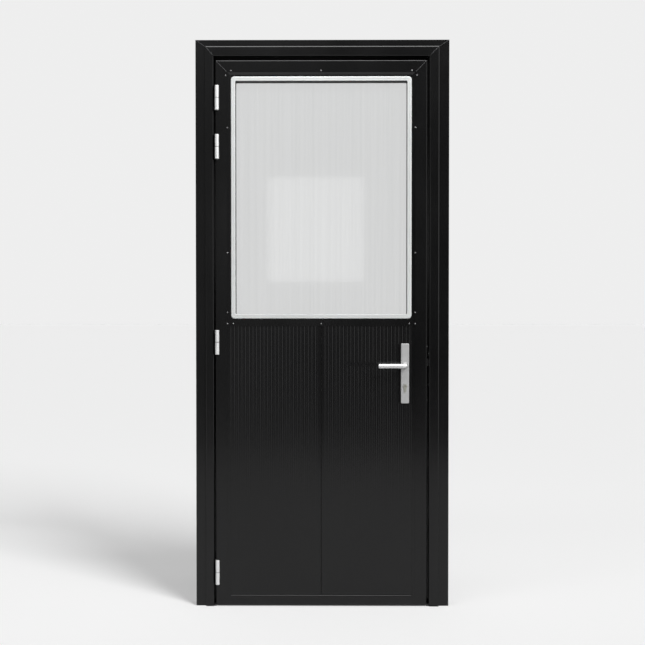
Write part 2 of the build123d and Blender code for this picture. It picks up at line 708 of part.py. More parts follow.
def window_frame_outer():
    """The outer window frame: a rounded flange, a lip over the pane and a sleeve into the opening."""
    flange = window_ring(
        0, WINDOW_CORNER_RADIUS, GASKET_INSET, SLEEVE_CORNER_RADIUS, WINDOW_FRONT, PANEL_FRONT
    )
    lip = window_ring(
        0, WINDOW_CORNER_RADIUS, WINDOW_FACE, OPENING_CORNER_RADIUS, WINDOW_FRONT, WINDOW_FRONT + WINDOW_LIP
    )
    sleeve = window_ring(
        SLEEVE_INSET, SLEEVE_CORNER_RADIUS, GASKET_INSET, SLEEVE_CORNER_RADIUS, PANEL_FRONT, -SLEEVE_GAP / 2
    )
    frame = flange + lip + sleeve
    frame = fillet(frame.faces().sort_by(Axis.Y)[0].outer_wire().edges(), WINDOW_EDGE_RADIUS)
    opening = frame.faces().sort_by(Axis.Y)[0].inner_wires()[0]
    frame = fillet(opening.edges(), WINDOW_OPENING_EDGE_RADIUS)
    groove_end = WINDOW_GROOVE_INSET + WINDOW_GROOVE_WIDTH
    return frame - window_ring(
        WINDOW_GROOVE_INSET, SLEEVE_CORNER_RADIUS, groove_end, SLEEVE_CORNER_RADIUS - WINDOW_GROOVE_WIDTH,
        WINDOW_FRONT, WINDOW_FRONT + WINDOW_GROOVE_DEPTH,
    )


def outer_frame_with_pilots():
    frame = window_frame_outer()
    for x, z in window_screw_places():
        depth = PANEL_THICKNESS / 2
        frame -= rod((x, 0, z), (0, -1, 0), depth, WINDOW_SCREW_RADIUS + WINDOW_SCREW_CLEARANCE)
    return frame


def window_frame_inner():
    """The inner window frame, the outer one turned round, with screw holes right through."""
    frame = mirror(window_frame_outer(), about=Plane.XZ)
    for x, z in window_screw_places():
        reach = PANEL_BACK + WINDOW_PROUD + OVERRUN
        frame -= rod((x, 0, z), (0, 1, 0), reach, WINDOW_SCREW_RADIUS + WINDOW_SCREW_CLEARANCE)
    return frame


def window_screws():
    """Pan-headed screws through the inner window frame into the outer one."""
    face = PANEL_BACK + WINDOW_PROUD
    screws = []
    for x, z in window_screw_places():
        shank = rod((x, face, z), (0, -1, 0), face + PANEL_THICKNESS / 2 - WINDOW_LIP, WINDOW_SCREW_RADIUS)
        dome = rod((x, face, z), (0, 1, 0), WINDOW_SCREW_HEAD, WINDOW_SCREW_HEAD_RADIUS)
        dome = fillet(dome.faces().sort_by(Axis.Y)[-1].edges(), WINDOW_SCREW_HEAD / 2)
        screws.append(shank + dome)
    return screws


def window_gasket(face):
    """The black rubber frame between a window frame's lip and the pane; face is -1 outside, 1 inside."""
    near = PANE_THICKNESS / 2
    far = -WINDOW_FRONT - WINDOW_LIP
    y0, y1 = sorted((face * near, face * far))
    return window_ring(GASKET_INSET, SLEEVE_CORNER_RADIUS, WINDOW_FACE, OPENING_CORNER_RADIUS, y0, y1)


def pane():
    """The clear sheet held between the two gaskets."""
    inset = GASKET_INSET + WINDOW_CLEARANCE
    return window_slab(inset, SLEEVE_CORNER_RADIUS, -PANE_THICKNESS / 2, PANE_THICKNESS / 2)


def transom_strip():
    """The flat cover strip across the leaf under the window."""
    strip = block(
        LEAF_LEFT + STILE_WIDTH, LEAF_RIGHT - STILE_WIDTH, LEAF_FRONT, PANEL_FRONT,
        WINDOW_BOTTOM - TRANSOM_STRIP_HEIGHT, WINDOW_BOTTOM,
    )
    for hole in rivet_holes():
        strip -= hole
    return strip


def rivet_places():
    """The rivets round the window, as (x, z)."""
    places = []
    low = WINDOW_BOTTOM - RIVET_STRIP_DROP
    high = LEAF_TOP - RIVET_RAIL_DROP
    for side, edge, window_edge in ((-1, LEAF_LEFT, WINDOW_LEFT), (1, LEAF_RIGHT, WINDOW_RIGHT)):
        x = edge - side * RIVET_SIDE_INSET
        heights = [WINDOW_BOTTOM + share * WINDOW_HEIGHT for share in RIVET_SIDE_SHARES]
        places += [(x, z) for z in heights + [low]]
        places.append((edge - side * RIVET_CORNER_INSET, WINDOW_TOP + RIVET_CORNER_RISE))
        places.append((window_edge, high))
        places.append((window_edge - side * RIVET_STRIP_INSET, low))
    return places + [(LEAF_MIDDLE, high), (LEAF_MIDDLE, low)]


def rivet_holes():
    radius = RIVET_RADIUS + RIVET_CLEARANCE
    start = LEAF_FRONT - OVERRUN
    return [rod((x, start, z), (0, 1, 0), OVERRUN + RIVET_DEPTH, radius) for x, z in rivet_places()]


def rivets():
    """Dome-headed rivets that hold the channels and the cover strip to the outer skin."""
    made = []
    for x, z in rivet_places():
        dome = rod((x, LEAF_FRONT, z), (0, -1, 0), RIVET_HEAD, RIVET_HEAD_RADIUS)
        dome = fillet(dome.faces().sort_by(Axis.Y)[0].edges(), RIVET_DOME_RADIUS)
        made.append(dome + rod((x, LEAF_FRONT, z), (0, 1, 0), RIVET_DEPTH, RIVET_RADIUS))
    return made


def leaf_flap():
    """The leaf half's flap in plan, flat on the stile's edge and tangent to the knuckle's side."""
    back = HINGE_AXIS_Y + KNUCKLE_RADIUS + FLAP_DEPTH
    return [
        (LEAF_LEFT - FLAP_THICKNESS, HINGE_AXIS_Y), (LEAF_LEFT, HINGE_AXIS_Y),
        (LEAF_LEFT, back), (LEAF_LEFT - FLAP_THICKNESS, back),
    ]


def frame_flap():
    """The frame half's flap in plan, cranked from beside the knuckle to the face of the jamb."""
    near = LEAF_LEFT - FLAP_CLEARANCE
    far = HINGE_JAMB_INNER + FLAP_THICKNESS
    crank = HINGE_AXIS_Y + KNUCKLE_RADIUS + FLAP_CRANK_START
    seat = crank + FLAP_CRANK_LENGTH
    back = HINGE_AXIS_Y + KNUCKLE_RADIUS + FLAP_DEPTH
    right = [(near, HINGE_AXIS_Y), (near, crank), (far, seat), (far, back)]
    left = [(x - FLAP_THICKNESS, y) for x, y in right]
    return right + left[::-1]


def hinge_half(height, bore_from, bore_to, flap):
    """A knuckle with its flap, from one height up to another, bored blind for the pin."""
    low, high = height
    body = rod((HINGE_AXIS_X, HINGE_AXIS_Y, low), (0, 0, 1), high - low, KNUCKLE_RADIUS)
    ends = [edge for edge in body.edges() if edge.geom_type == GeomType.CIRCLE]
    body = fillet(ends, KNUCKLE_END_RADIUS)
    body += prism_up(flap, low, high)
    bore = HINGE_PIN_RADIUS + HINGE_PIN_CLEARANCE
    return body - rod((HINGE_AXIS_X, HINGE_AXIS_Y, bore_from), (0, 0, 1), bore_to - bore_from, bore)


def hinge_levels(middle):
    """The heights of one hinge: lower end, lower knuckle top, upper knuckle bottom, upper end."""
    gap = (WASHER_THICKNESS + WASHER_GAP) / 2
    return middle - gap - KNUCKLE_HEIGHT, middle - gap, middle + gap, middle + gap + KNUCKLE_HEIGHT


def hinge_frame_half(middle):
    low, lower_top, upper_bottom, high = hinge_levels(middle)
    half = hinge_half((low, lower_top), low + KNUCKLE_CAP, lower_top + OVERRUN, frame_flap())
    for screw in frame_flap_screws(HINGE_SCREW_CLEARANCE):
        half -= screw
    return half


def hinge_leaf_half(middle):
    low, lower_top, upper_bottom, high = hinge_levels(middle)
    half = hinge_half((upper_bottom, high), upper_bottom - OVERRUN, high - KNUCKLE_CAP, leaf_flap())
    for screw in leaf_flap_screws(HINGE_SCREW_CLEARANCE):
        half -= screw
    return half


def hinge_pins():
    """Plain pins that stand in the lower knuckles and carry the upper ones."""
    pins = []
    for middle in HINGE_HEIGHTS:
        low, lower_top, upper_bottom, high = hinge_levels(middle)
        start = low + KNUCKLE_CAP
        length = high - KNUCKLE_CAP - HINGE_PIN_END_GAP - start
        pins.append(rod((HINGE_AXIS_X, HINGE_AXIS_Y, start), (0, 0, 1), length, HINGE_PIN_RADIUS))
    return pins


def hinge_washers():
    """Bearing rings between the knuckles."""
    rings = []
    for middle in HINGE_HEIGHTS:
        lower_top = hinge_levels(middle)[1]
        start = (HINGE_AXIS_X, HINGE_AXIS_Y, lower_top)
        ring = rod(start, (0, 0, 1), WASHER_THICKNESS, KNUCKLE_RADIUS - KNUCKLE_END_RADIUS)
        rings.append(ring - rod(start, (0, 0, 1), WASHER_THICKNESS, HINGE_PIN_RADIUS + HINGE_PIN_CLEARANCE))
    return rings


def flap_screw_heights(low, high):
    return [low + share * (high - low) for share in HINGE_SCREW_SHARES]


def flap_screw_depth():
    seat = FLAP_CRANK_START + FLAP_CRANK_LENGTH
    return HINGE_AXIS_Y + KNUCKLE_RADIUS + (seat + FLAP_DEPTH) / 2


def flap_screws(levels, face_x, direction, length, clearance):
    """Flat-headed screws through one kind of flap, at the lower or the upper half of each hinge."""
    screws = []
    for middle in HINGE_HEIGHTS:
        low, high = [hinge_levels(middle)[level] for level in levels]
        for height in flap_screw_heights(low, high):
            start = (face_x, flap_screw_depth(), height)
            screws.append(countersunk_screw(
                start, direction, length, HINGE_SCREW_RADIUS + clearance,
                HINGE_SCREW_HEAD_RADIUS + clearance, HINGE_SCREW_HEAD,
            ))
    return screws


def frame_flap_screws(clearance):
    face_x = HINGE_JAMB_INNER + FLAP_THICKNESS
    length = FLAP_THICKNESS + FRAME_WALL + HINGE_SCREW_TAIL + clearance
    return flap_screws((0, 1), face_x, (-1, 0, 0), length, clearance)


def leaf_flap_screws(clearance):
    length = FLAP_THICKNESS + CHANNEL_WALL + clearance
    return flap_screws((2, 3), LEAF_LEFT - FLAP_THICKNESS, (1, 0, 0), length, clearance)


def cylinder_profile(y0, y1, clearance):
    """The lock cylinder's keyhole-shaped section, carried from one depth to another."""
    round_top = rod((SPINDLE_X, y0, CYLINDER_HEIGHT), (0, 1, 0), y1 - y0, CYLINDER_RADIUS + clearance)
    half = CYLINDER_TAIL_WIDTH / 2 + clearance
    tail_end = CYLINDER_HEIGHT - CYLINDER_TAIL_DROP + CYLINDER_TAIL_WIDTH / 2
    tail = block(SPINDLE_X - half, SPINDLE_X + half, y0, y1, tail_end, CYLINDER_HEIGHT)
    round_end = rod((SPINDLE_X, y0, tail_end), (0, 1, 0), y1 - y0, half)
    return round_top + tail + round_end


def lock_cylinder():
    """The cylinder's housing: two keyhole-shaped halves joined by a bridge, bored for the plugs."""
    reach = -PLATE_FRONT + CYLINDER_PROUD
    housing = cylinder_profile(-reach, reach, 0)
    bore = PLUG_RADIUS + PLUG_CLEARANCE
    length = reach + reach + OVERRUN + OVERRUN
    housing -= rod((SPINDLE_X, -reach - OVERRUN, CYLINDER_HEIGHT), (0, 1, 0), length, bore)
    side = CYLINDER_RADIUS + OVERRUN
    housing -= block(
        SPINDLE_X - side, SPINDLE_X + side, -CAM_GAP / 2, CAM_GAP / 2,
        CYLINDER_HEIGHT - CAM_RADIUS - CAM_CLEARANCE, CYLINDER_HEIGHT + side,
    )
    return housing - cylinder_screw_shank(CYLINDER_SCREW_CLEARANCE)


def cylinder_plug(face):
    """A turning plug with its keyway; face is -1 outside, 1 inside."""
    reach = -PLATE_FRONT + CYLINDER_PROUD
    start = CAM_GAP / 2
    plug = rod((SPINDLE_X, face * start, CYLINDER_HEIGHT), (0, face, 0), reach - start, PLUG_RADIUS)
    y0, y1 = sorted((face * (reach - KEYWAY_DEPTH), face * (reach + OVERRUN)))
    half = KEYWAY_WIDTH / 2
    low = CYLINDER_HEIGHT - KEYWAY_HEIGHT / 2
    return plug - block(SPINDLE_X - half, SPINDLE_X + half, y0, y1, low, low + KEYWAY_HEIGHT)


def cylinder_cam():
    """The ring between the plugs whose nose drives the dead bolt."""
    width = CAM_GAP / 2 - CAM_CLEARANCE / 2
    ring = rod((SPINDLE_X, -width, CYLINDER_HEIGHT), (0, 1, 0), width + width, PLUG_RADIUS)
    nose = block(
        SPINDLE_X - CAM_WIDTH / 2, SPINDLE_X + CAM_WIDTH / 2, -width, width,
        CYLINDER_HEIGHT - CAM_RADIUS, CYLINDER_HEIGHT,
    )
    return ring + nose


def cylinder_screw_shank(clearance):
    start = (FOREND_FACE, 0, CYLINDER_HEIGHT - CYLINDER_SCREW_DROP)
    return rod(start, (-1, 0, 0), FOREND_THICKNESS + BACKSET, CYLINDER_SCREW_RADIUS + clearance)


def cylinder_screw():
    """The long screw from the forend that holds the cylinder."""
    start = (FOREND_FACE, 0, CYLINDER_HEIGHT - CYLINDER_SCREW_DROP)
    head_cone = taper(start, (-1, 0, 0), LOCK_SCREW_HEAD, LOCK_SCREW_HEAD_RADIUS, CYLINDER_SCREW_RADIUS)
    return cylinder_screw_shank(0) + head_cone


def latch_hole(x0, x1, clearance):
    half = LATCH_WIDTH / 2 + clearance
    rise = LATCH_HEIGHT / 2 + clearance
    return block(x0, x1, -half, half, LATCH_HEIGHT_AT - rise, LATCH_HEIGHT_AT + rise)


def dead_bolt_hole(x0, x1, clearance):
    half = DEAD_BOLT_WIDTH / 2 + clearance
    rise = DEAD_BOLT_HEIGHT / 2 + clearance
    return block(x0, x1, -half, half, DEAD_BOLT_HEIGHT_AT - rise, DEAD_BOLT_HEIGHT_AT + rise)


def forend_screw_places():
    return [FOREND_TOP - FOREND_SCREW_INSET, FOREND_BOTTOM + FOREND_SCREW_INSET]


def forend_screws_with(clearance):
    return [
        countersunk_screw(
            (FOREND_FACE, 0, height), (-1, 0, 0), FOREND_THICKNESS + CHANNEL_WALL + clearance,
            LOCK_SCREW_RADIUS + clearance, LOCK_SCREW_HEAD_RADIUS + clearance, LOCK_SCREW_HEAD,
        )
        for height in forend_screw_places()
    ]


def forend_screw_holes():
    return forend_screws_with(HINGE_SCREW_CLEARANCE)


def lock_forend():
    """The lock's face plate on the edge of the leaf, with its bolt and screw holes."""
    half = FOREND_WIDTH / 2
    plate = block(LEAF_RIGHT, FOREND_FACE, -half, half, FOREND_BOTTOM, FOREND_TOP)
    ends = [edge for edge in plate.edges().filter_by(Axis.X)]
    plate = fillet(ends, half - LOCK_PLATE_CORNER_INSET)
    plate -= latch_hole(LEAF_RIGHT - OVERRUN, FOREND_FACE + OVERRUN, BOLT_CLEARANCE)
    plate -= dead_bolt_hole(LEAF_RIGHT - OVERRUN, FOREND_FACE + OVERRUN, BOLT_CLEARANCE)
    plate -= cylinder_screw_shank(CYLINDER_SCREW_CLEARANCE)
    start = (FOREND_FACE, 0, CYLINDER_HEIGHT - CYLINDER_SCREW_DROP)
    plate -= taper(
        start, (-1, 0, 0), LOCK_SCREW_HEAD, LOCK_SCREW_HEAD_RADIUS + CYLINDER_SCREW_CLEARANCE,
        CYLINDER_SCREW_RADIUS + CYLINDER_SCREW_CLEARANCE,
    )
    for hole in forend_screw_holes():
        plate -= hole
    return plate


def lock_case():
    """The lock's sheet steel case, open towards the forend, with holes for the follower and the cylinder."""
    half = CASE_THICKNESS / 2
    case = block(CASE_BACK, LEAF_RIGHT, -half, half, CASE_BOTTOM, CASE_TOP)
    inside = half - CASE_WALL
    case -= block(
        CASE_BACK + CASE_WALL, LEAF_RIGHT + OVERRUN, -inside, inside,
        CASE_BOTTOM + CASE_WALL, CASE_TOP - CASE_WALL,
    )
    start = (SPINDLE_X, -half - OVERRUN, SPINDLE_HEIGHT)
    through = CASE_THICKNESS + OVERRUN + OVERRUN
    case -= rod(start, (0, 1, 0), through, FOLLOWER_RADIUS + FOLLOWER_CLEARANCE)
    return case - cylinder_profile(-half - OVERRUN, half + OVERRUN, CYLINDER_CLEARANCE)


def lock_follower():
    """The hub that the spindle turns, with an arm that draws the latch."""
    half = CASE_THICKNESS / 2
    hub = rod((SPINDLE_X, -half, SPINDLE_HEIGHT), (0, 1, 0), CASE_THICKNESS, FOLLOWER_RADIUS)
    side = FOLLOWER_ARM_WIDTH / 2
    depth = FOLLOWER_ARM_THICKNESS / 2
    arm = block(
        SPINDLE_X - side, SPINDLE_X + side, -depth, depth, SPINDLE_HEIGHT, SPINDLE_HEIGHT + FOLLOWER_ARM
    )
    return hub + arm - spindle_bar(half + OVERRUN, SPINDLE_CLEARANCE)


def spindle_bar(reach, clearance):
    half = SPINDLE / 2 + clearance
    low = SPINDLE_HEIGHT - half
    return block(SPINDLE_X - half, SPINDLE_X + half, -reach, reach, low, low + half + half)


def spindle():
    """The square bar that joins both levers through the follower."""
    return spindle_bar(PANEL_BACK + SPINDLE_END, 0)


def latch_bolt():
    """The spring latch: a bevelled head, a side tail and a lug in front of the follower's arm."""
    tip = FOREND_FACE + LATCH_THROW
    back = tip - LATCH_LENGTH - LATCH_THROW
    half = LATCH_WIDTH / 2
    slope = tip - LATCH_BEVEL
    outline = [(back, -half), (tip, -half), (tip, -half + CASE_WALL), (slope, half), (back, half)]
    bolt = prism_up(outline, LATCH_HEIGHT_AT - LATCH_HEIGHT / 2, LATCH_HEIGHT_AT + LATCH_HEIGHT / 2)
    lug_x = SPINDLE_X - FOLLOWER_ARM_WIDTH / 2 - LUG_CLEARANCE
    low = SPINDLE_HEIGHT + LUG_TOP - LUG_HEIGHT
    high = SPINDLE_HEIGHT + LUG_TOP
    y0 = FOLLOWER_ARM_THICKNESS / 2 + LUG_CLEARANCE
    y1 = y0 + LATCH_TAIL
    bolt += block(lug_x - LUG_WIDTH, back, y0, y1, low, high)
    return bolt + block(lug_x - LUG_WIDTH, lug_x, -FOLLOWER_ARM_THICKNESS / 2, y1, low, high)


def dead_bolt():
    """The square bolt that the key throws, drawn back inside the forend."""
    tip = FOREND_FACE - DEAD_BOLT_INSET
    bolt = dead_bolt_hole(tip - DEAD_BOLT_LENGTH, tip, 0)
    half = DEAD_BOLT_TAIL_HEIGHT / 2
    tail_end = tip - DEAD_BOLT_LENGTH - DEAD_BOLT_TAIL_LENGTH
    return bolt + block(
        tail_end, tip - DEAD_BOLT_LENGTH, -DEAD_BOLT_WIDTH / 2 + CASE_WALL, DEAD_BOLT_WIDTH / 2 - CASE_WALL,
        DEAD_BOLT_HEIGHT_AT - half, DEAD_BOLT_HEIGHT_AT + half,
    )


def strike_ends():
    top = LATCH_HEIGHT_AT + LATCH_HEIGHT / 2 + STRIKE_OVERLAP
    bottom = DEAD_BOLT_HEIGHT_AT - DEAD_BOLT_HEIGHT / 2 - STRIKE_OVERLAP
    return bottom, top


def strike_screw_heights():
    bottom, top = strike_ends()
    return [bottom + FOREND_SCREW_INSET, top - FOREND_SCREW_INSET]


def strike_screws():
    x0 = LOCK_JAMB_INNER - STRIKE_THICKNESS
    length = STRIKE_THICKNESS + FRAME_WALL + STRIKE_SCREW_TAIL
    return [
        countersunk_screw(
            (x0, 0, height), (1, 0, 0), length, LOCK_SCREW_RADIUS, LOCK_SCREW_HEAD_RADIUS, LOCK_SCREW_HEAD
        )
        for height in strike_screw_heights()
    ]


def strike_plate():
    """The keep on the lock jamb, with a hole for the latch and one for the dead bolt."""
    bottom, top = strike_ends()
    half = STRIKE_WIDTH / 2
    x0 = LOCK_JAMB_INNER - STRIKE_THICKNESS
    plate = block(x0, LOCK_JAMB_INNER, -half, half, bottom, top)
    plate = fillet(plate.edges().filter_by(Axis.X), half - LOCK_PLATE_CORNER_INSET)
    plate -= latch_hole(x0 - OVERRUN, LOCK_JAMB_INNER + OVERRUN, STRIKE_CLEARANCE)
    plate -= dead_bolt_hole(x0 - OVERRUN, LOCK_JAMB_INNER + OVERRUN, STRIKE_CLEARANCE)
    for height in strike_screw_heights():
        plate -= countersunk_screw(
            (x0, 0, height), (1, 0, 0), STRIKE_THICKNESS + OVERRUN, LOCK_SCREW_RADIUS + HINGE_SCREW_CLEARANCE,
            LOCK_SCREW_HEAD_RADIUS + HINGE_SCREW_CLEARANCE, LOCK_SCREW_HEAD,
        )
    return plate


def handle_plate(face):
    """A long handle plate with rounded edges and a bush round the neck; face is -1 outside, 1 inside."""
    x0 = SPINDLE_X - PLATE_WIDTH / 2
    plate = rounded_slab(
        x0, x0 + PLATE_WIDTH, PLATE_BOTTOM, PLATE_TOP, PLATE_FRONT, PANEL_FRONT, PLATE_CORNER_RADIUS
    )
    plate = fillet(plate.faces().sort_by(Axis.Y)[0].edges(), PLATE_EDGE_RADIUS)
    bush = rod((SPINDLE_X, PLATE_FRONT, SPINDLE_HEIGHT), (0, -1, 0), BUSH_HEIGHT, LEVER_RADIUS + BUSH_WALL)
    plate += fillet(bush.faces().sort_by(Axis.Y)[0].edges(), BUSH_EDGE_RADIUS)
    y0 = PLATE_FRONT - BUSH_HEIGHT - OVERRUN
    depth = OVERRUN + BUSH_HEIGHT + PLATE_THICKNESS + OVERRUN
    plate -= rod((SPINDLE_X, y0, SPINDLE_HEIGHT), (0, 1, 0), depth, LEVER_RADIUS + LEVER_CLEARANCE)
    plate -= cylinder_profile(y0, y0 + depth, CYLINDER_CLEARANCE)
    bite = PLATE_BOLT_BITE if face < 0 else PLATE_THICKNESS + OVERRUN
    for height in PLATE_BOLT_HEIGHTS:
        hole = PLATE_BOLT_RADIUS + PLATE_BOLT_CLEARANCE
        plate -= rod((SPINDLE_X, PANEL_FRONT, height), (0, -1, 0), bite, hole)
    return plate if face < 0 else mirror(plate, about=Plane.XZ)


def plate_bolts():
    """Bolts from the inner handle plate through the leaf into the outer one."""
    bolts = []
    for height in PLATE_BOLT_HEIGHTS:
        start = (SPINDLE_X, -PLATE_FRONT, height)
        length = -PLATE_FRONT + PANEL_BACK + PLATE_BOLT_BITE - PLATE_BOLT_CLEARANCE
        shank = rod(start, (0, -1, 0), length, PLATE_BOLT_RADIUS)
        dome = rod(start, (0, 1, 0), PLATE_BOLT_HEAD, PLATE_BOLT_HEAD_RADIUS)
        bolts.append(shank + fillet(dome.faces().sort_by(Axis.Y)[-1].edges(), PLATE_BOLT_HEAD / 2))
    return bolts


def lever(face):
    """A round lever handle: a neck through the plate, one bend and a straight grip."""
    start = (SPINDLE_X, PANEL_FRONT - LEVER_SKIN_GAP, SPINDLE_HEIGHT)
    corner = (SPINDLE_X, LEVER_FRONT, SPINDLE_HEIGHT)
    end = (SPINDLE_X - LEVER_LENGTH, LEVER_FRONT, SPINDLE_HEIGHT)
    path = FilletPolyline(start, corner, end, radius=LEVER_BEND_RADIUS)
    bar = sweep(Plane(origin=start, z_dir=(0, -1, 0)) * Circle(LEVER_RADIUS), path=path)
    bar = fillet(bar.faces().sort_by(Axis.X)[0].edges(), LEVER_END_RADIUS)
    bar -= spindle_bar(PANEL_BACK + SPINDLE_END + SPINDLE_CLEARANCE, SPINDLE_CLEARANCE)
    return bar if face < 0 else mirror(bar, about=Plane.XZ)


def sub_parts():
    """Every node's name with its solid or its group of solids."""
    parts = {
        "frame_hinge_jamb": hinge_jamb(),
        "frame_lock_jamb": lock_jamb(),
        "frame_head": head(),
        "corner_cleat_hinge_side": corner_cleat(-1, HINGE_JAMB_BAND),
        "corner_cleat_lock_side": corner_cleat(1, LOCK_JAMB_BAND),
        "stop_gasket": stop_gasket(),
        "strike_plate": strike_plate(),
        "strike_screws": strike_screws(),
        "hinge_pins": hinge_pins(),
        "hinge_washers": hinge_washers(),
        "hinge_frame_screws": frame_flap_screws(0),
        "stile_hinge_side": hinge_stile(),
        "stile_lock_side": lock_stile(),
        "top_rail": top_rail(),
        "bottom_rail": bottom_rail(),
        "bottom_seal": bottom_seal(),
        "transom_strip": transom_strip(),
        "window_frame_outer": outer_frame_with_pilots(),
        "window_frame_inner": window_frame_inner(),
        "window_gasket_outer": window_gasket(-1),
        "window_gasket_inner": window_gasket(1),
        "window_pane": pane(),
        "window_screws": window_screws(),
        "leaf_rivets": rivets(),
        "hinge_leaf_screws": leaf_flap_screws(0),
        "handle_plate_outer": handle_plate(-1),
        "handle_plate_inner": handle_plate(1),
        "plate_bolts": plate_bolts(),
        "lock_case": lock_case(),
        "lock_forend": lock_forend(),
        "forend_screws": forend_screws_with(0),
        "lock_cylinder": lock_cylinder(),
        "cylinder_screw": cylinder_screw(),
        "lever_outer": lever(-1),
        "lever_inner": lever(1),
        "spindle": spindle(),
        "lock_follower": lock_follower(),
        "latch_bolt": latch_bolt(),
        "dead_bolt": dead_bolt(),
        "cylinder_plug_outer": cylinder_plug(-1),
        "cylinder_plug_inner": cylinder_plug(1),
        "cylinder_cam": cylinder_cam(),
    }
    for number, side in ((1, -1), (2, 1)):
        parts[f"panel_{number}_outer_skin"] = skin(side, -1)
        parts[f"panel_{number}_core"] = core(side)
        parts[f"panel_{number}_inner_skin"] = skin(side, 1)
    for number, middle in enumerate(HINGE_HEIGHTS, start=1):
        parts[f"hinge_{number}_frame_half"] = hinge_frame_half(middle)
        parts[f"hinge_{number}_leaf_half"] = hinge_leaf_half(middle)
    return parts


os.makedirs("parts", exist_ok=True)
for name, shape in sub_parts().items():
    solids = shape if isinstance(shape, list) else [shape]
    group = [solid for piece in solids for solid in piece.solids()]
    export_step(Compound(children=group) if len(group) > 1 else group[0], f"parts/{name}.step")
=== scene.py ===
import math

import bpy
import numpy as np
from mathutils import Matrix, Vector


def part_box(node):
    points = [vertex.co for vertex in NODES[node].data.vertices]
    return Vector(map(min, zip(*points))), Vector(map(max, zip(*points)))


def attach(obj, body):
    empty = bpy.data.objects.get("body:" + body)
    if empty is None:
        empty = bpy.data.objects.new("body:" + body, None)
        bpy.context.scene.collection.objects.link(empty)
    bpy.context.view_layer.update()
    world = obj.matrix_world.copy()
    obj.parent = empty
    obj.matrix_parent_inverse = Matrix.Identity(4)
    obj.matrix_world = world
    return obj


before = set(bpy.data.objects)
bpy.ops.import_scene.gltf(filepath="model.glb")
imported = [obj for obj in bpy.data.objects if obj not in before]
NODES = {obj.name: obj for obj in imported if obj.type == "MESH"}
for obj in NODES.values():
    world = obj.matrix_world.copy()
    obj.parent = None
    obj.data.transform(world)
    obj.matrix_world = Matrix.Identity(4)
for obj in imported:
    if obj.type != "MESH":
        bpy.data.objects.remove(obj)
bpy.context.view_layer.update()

ACROSS, DEPTH, UP = 0, 1, 2

# Camera: picture width and focal length in pixels, place in metres, angles in degrees
IMAGE_SIZE = 645
FOCAL_PIXELS = 1028.0
CAMERA_PLACE = (0.0268, -4.2, 1.2319)
CAMERA_PITCH = -0.998
CAMERA_YAW = 0.356
CAMERA_REACH = 120.0

# Studio: strength of the background, tone of the lit paper, front edge of the floor in metres
PALE = 0.857
PAPER_TONE = 0.84
FLOOR_FRONT = -4.4

# Black coats: index of refraction, and roughness from the glossiest to the dullest patches
COAT_IOR = 1.38
COAT_GLOSS = (0.15, 0.20)

# Hinges keep their metal tone right of this x and are painted nearly black left of it, as painted shade
# in the gap beside the jamb, with a blend of this half width
HINGE_SHADE_EDGE = -0.4344
SHADE_EDGE_BLEND = 0.0003

SHARP_ANGLE = 40.0


# Finishes

def surface(name):
    """A new material with one principled shader, returned with its node tree."""
    made = bpy.data.materials.new(name)
    made.use_nodes = True
    tree = made.node_tree
    return made, tree, tree.nodes["Principled BSDF"]


def settings(shader, **values):
    """Constant values set on the shader's own sockets; underscores stand for spaces."""
    for key, value in values.items():
        shader.inputs[key.replace("_", " ")].default_value = value


def noise(tree, scale, detail=4.0, rough=0.55):
    """Noise on object coordinates, stretched by the inverse of scale along each axis."""
    place = tree.nodes.new("ShaderNodeTexCoord")
    mapping = tree.nodes.new("ShaderNodeMapping")
    mapping.inputs["Scale"].default_value = scale
    tree.links.new(place.outputs["Object"], mapping.inputs["Vector"])
    grain = tree.nodes.new("ShaderNodeTexNoise")
    grain.inputs["Scale"].default_value = 1.0
    grain.inputs["Detail"].default_value = detail
    grain.inputs["Roughness"].default_value = rough
    tree.links.new(mapping.outputs["Vector"], grain.inputs["Vector"])
    return grain.outputs["Fac"]


def between(tree, fac, low, high, start=0.3, end=0.7):
    """Maps a 0 to 1 value onto the span low to high, linear between start and end."""
    span = tree.nodes.new("ShaderNodeMapRange")
    span.inputs["From Min"].default_value = start
    span.inputs["From Max"].default_value = end
    span.inputs["To Min"].default_value = low
    span.inputs["To Max"].default_value = high
    tree.links.new(fac, span.inputs["Value"])
    return span.outputs["Result"]


def tones(tree, fac, stops):
    """A colour ramp from (position, (r, g, b)) stops."""
    ramp = tree.nodes.new("ShaderNodeValToRGB")
    while len(ramp.color_ramp.elements) < len(stops):
        ramp.color_ramp.elements.new(0.5)
    for element, (position, colour) in zip(ramp.color_ramp.elements, stops):
        element.position = position
        element.color = (*colour, 1.0)
    tree.links.new(fac, ramp.inputs["Fac"])
    return ramp.outputs["Color"]


def relief(tree, shader, heights):
    """Chained bumps from (height, strength, distance in metres) entries."""
    normal = None
    for height, strength, distance in heights:
        bump = tree.nodes.new("ShaderNodeBump")
        bump.inputs["Strength"].default_value = strength
        bump.inputs["Distance"].default_value = distance
        tree.links.new(height, bump.inputs["Height"])
        if normal is not None:
            tree.links.new(normal, bump.inputs["Normal"])
        normal = bump.outputs["Normal"]
    tree.links.new(normal, shader.inputs["Normal"])


